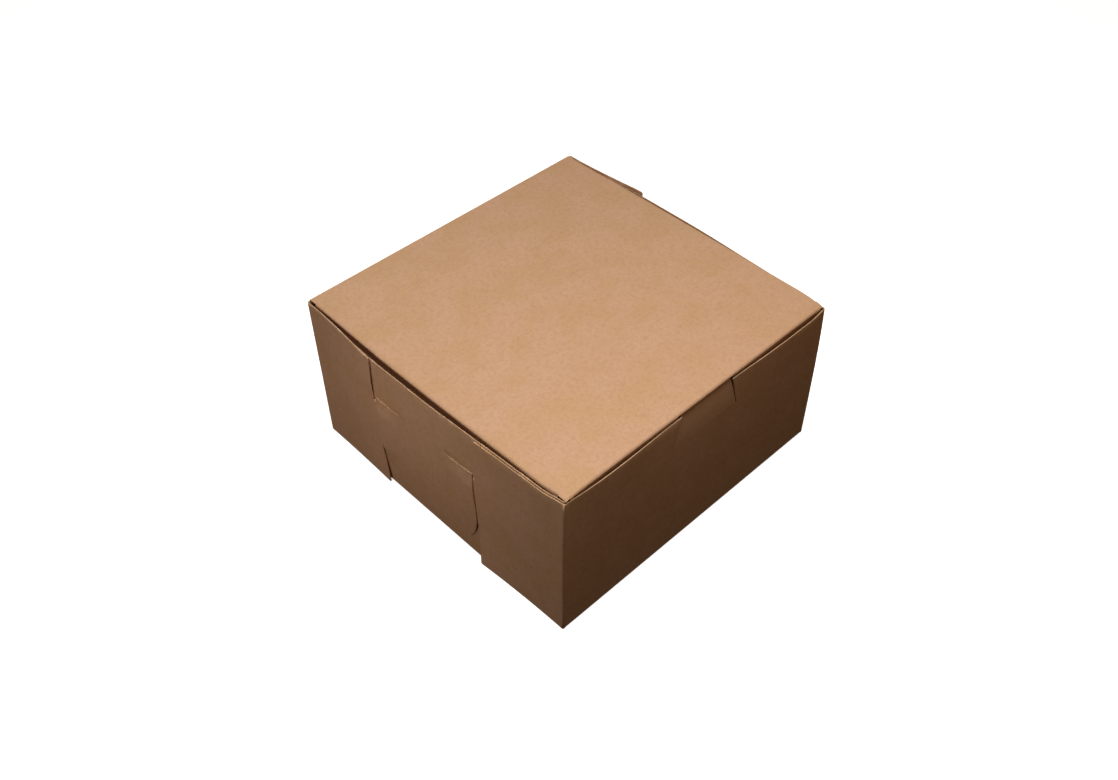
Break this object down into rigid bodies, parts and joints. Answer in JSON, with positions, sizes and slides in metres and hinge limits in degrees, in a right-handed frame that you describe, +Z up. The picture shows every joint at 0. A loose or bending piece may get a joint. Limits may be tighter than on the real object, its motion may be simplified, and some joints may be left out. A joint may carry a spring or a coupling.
{
  "type": "bakery box",
  "caption": "Low square folded paperboard box with lock-corner side walls, a hinged tuck lid and a tab in the front wall.",
  "frame": {"origin": "middle of the underside of the bottom", "axes": "+Z up, front wall with the tab towards -Y, hinge fold of the lid at +Y, locked side walls at -X and +X"},
  "size_m": [0.1622, 0.1534, 0.078],
  "materials": {
    "kraft_board": "uncoated brown kraft board, matt, with fine fibre flecks"
  },
  "bodies": {
    "tray": {"tray": "kraft_board"},
    "lid": {"lid": "kraft_board"}
  },
  "joints": [
    {"name": "lid_hinge", "type": "hinge", "parent": "tray", "child": "lid", "pos_m": [0, 0.07651, 0.07781], "axis": [-1, 0, 0], "range_deg": [0, 210]}
  ]
}
